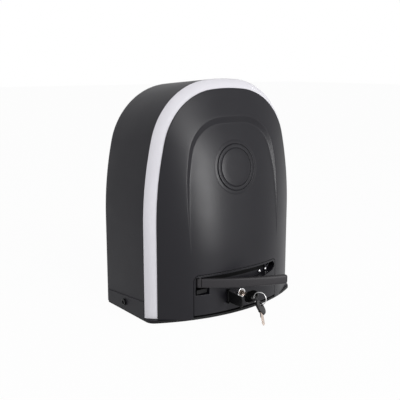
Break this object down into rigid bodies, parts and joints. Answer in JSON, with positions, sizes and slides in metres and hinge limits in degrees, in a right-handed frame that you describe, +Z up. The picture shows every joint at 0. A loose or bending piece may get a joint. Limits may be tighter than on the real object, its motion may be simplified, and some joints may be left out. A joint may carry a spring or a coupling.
{
  "type": "sliding gate motor",
  "caption": "Sliding gate motor with an arched hood, trim band, release lever behind a keyed lock and a rear pinion driven through a worm gear and clutch.",
  "frame": {"origin": "middle of the base plate's underside, on the ground face", "axes": "+Z up; +Y back, towards the gate, where the pinion is; -Y front, with the release lever; +X to the right as seen from the front"},
  "size_m": [0.2534, 0.2466, 0.305],
  "materials": {
    "badge": "satin",
    "zinc_steel": "zinc plated",
    "dark_plastic": "moulded",
    "rubber": "matte",
    "bright_steel": "machined",
    "forged_steel": "oiled",
    "spring_steel": "drawn",
    "board_green": "solder mask",
    "black_plastic": "fine grain",
    "cast_aluminium": "as cast",
    "key_steel": "nickel plated",
    "key_plastic": "moulded",
    "button_plastic": "moulded",
    "lock_chrome": "polished",
    "brass": "turned",
    "lamination_steel": "varnished",
    "copper": "enamelled wire",
    "relay_plastic": "moulded",
    "lever_plastic": "fine grain",
    "capacitor_shell": "moulded",
    "terminal_green": "moulded",
    "grey_plastic": "satin",
    "bronze": "hobbed"
  },
  "bodies": {
    "housing": {"badge_disc": "badge", "base_plate": "zinc_steel", "board_tray": "dark_plastic", "cable_grommet": "rubber", "capacitor_clip": "dark_plastic", "case_screws": "bright_steel", "control_board": "board_green", "cover_screws": "bright_steel", "flap_pin": "bright_steel", "front_panel": "black_plastic", "gearcase": "cast_aluminium", "gearcase_cover": "cast_aluminium", "learn_button_case": "dark_plastic", "lever_pin": "bright_steel", "limit_switch": "dark_plastic", "lock_cylinder": "lock_chrome", "motor_bearings": "bright_steel", "motor_cap": "cast_aluminium", "motor_screws": "bright_steel", "motor_stator": "lamination_steel", "motor_windings": "copper", "output_bearings": "bright_steel", "rear_cover": "black_plastic", "relays": "relay_plastic", "release_bezel": "black_plastic", "run_capacitor": "capacitor_shell", "shaft_seal": "rubber", "start_button_case": "dark_plastic", "terminal_blocks": "terminal_green", "transformer_coil": "copper", "transformer_core": "lamination_steel", "trim_band": "grey_plastic"},
    "release_lever": {"release_lever": "lever_plastic"},
    "release_rod": {"release_rod": "forged_steel"},
    "output": {"output_shaft": "forged_steel", "worm_wheel": "bronze", "pinion": "forged_steel", "pinion_key": "forged_steel", "pinion_retainer": "bright_steel", "clutch_spring": "spring_steel"},
    "clutch": {"clutch_ring": "forged_steel"},
    "rotor": {"worm_shaft": "forged_steel", "rotor_core": "lamination_steel"},
    "lock_plug": {"lock_plug": "brass", "lock_cam": "zinc_steel"},
    "lock_key": {"key_blade": "key_steel", "key_bow": "key_plastic"},
    "key_ring": {"key_ring": "spring_steel"},
    "spare_key": {"spare_key_blade": "key_steel", "spare_key_bow": "key_plastic"},
    "lock_flap": {"lock_flap": "black_plastic"},
    "start_button": {"start_button": "button_plastic"},
    "learn_button": {"learn_button": "button_plastic"},
    "limit_feeler": {"limit_feeler": "spring_steel"}
  },
  "joints": [
    {"name": "lever_swing", "type": "hinge", "parent": "housing", "child": "release_lever", "pos_m": [-0.0592, -0.059, 0.048], "axis": [0, 0, -1], "range_deg": [-28.2, 61.8]},
    {"name": "rod_slide", "type": "slide", "parent": "housing", "child": "release_rod", "axis": [0, 1, 0], "range_m": [-0.0042, 0.0019]},
    {"name": "output_spin", "type": "hinge", "parent": "housing", "child": "output", "pos_m": [-0.045, 0, 0.072], "axis": [0, 1, 0], "continuous": true},
    {"name": "clutch_slide", "type": "slide", "parent": "output", "child": "clutch", "axis": [0, 1, 0], "range_m": [-0.0042, 0.0019], "deforming": ["clutch_spring"]},
    {"name": "rotor_spin", "type": "hinge", "parent": "housing", "child": "rotor", "pos_m": [0.005, 0.018, 0], "axis": [0, 0, 1], "continuous": true},
    {"name": "lock_turn", "type": "hinge", "parent": "housing", "child": "lock_plug", "pos_m": [0, -0.0746, 0.0255], "axis": [0, 1, 0], "range_deg": [-90, 0]},
    {"name": "key_slide", "type": "slide", "parent": "lock_plug", "child": "lock_key", "axis": [0, -1, 0], "range_m": [0, 0.016]},
    {"name": "ring_swing", "type": "hinge", "parent": "lock_key", "child": "key_ring", "pos_m": [0, -0.0986, 0.0255], "axis": [0.6429, 0, -0.7659], "range_deg": [-12, 8]},
    {"name": "spare_swing", "type": "hinge", "parent": "key_ring", "child": "spare_key", "pos_m": [0.00411, -0.10604, 0.01743], "axis": [-0.4618, 0.665, -0.587], "range_deg": [-15, 5]},
    {"name": "flap_swing", "type": "hinge", "parent": "housing", "child": "lock_flap", "pos_m": [-0.022, -0.0747, 0.0255], "axis": [0, 0, -1], "range_deg": [-24, 18]},
    {"name": "start_press", "type": "slide", "parent": "housing", "child": "start_button", "axis": [0, 1, 0], "range_m": [0, 0.0008], "stiffness_N_per_m": 400},
    {"name": "learn_press", "type": "slide", "parent": "housing", "child": "learn_button", "axis": [0, 1, 0], "range_m": [0, 0.0008], "stiffness_N_per_m": 400},
    {"name": "limit_swing", "type": "hinge", "parent": "housing", "child": "limit_feeler", "pos_m": [-0.049, 0.062, 0.134], "axis": [0, 0, 1], "range_deg": [-25, 25], "stiffness_Nm_per_rad": 0.2}
  ],
  "couplings": [
    {"joint": "rod_slide", "follows": "lever_swing", "m_per_rad": -0.00378},
    {"joint": "clutch_slide", "follows": "lever_swing", "m_per_rad": -0.00378},
    {"joint": "rotor_spin", "follows": "output_spin", "ratio": 30}
  ]
}
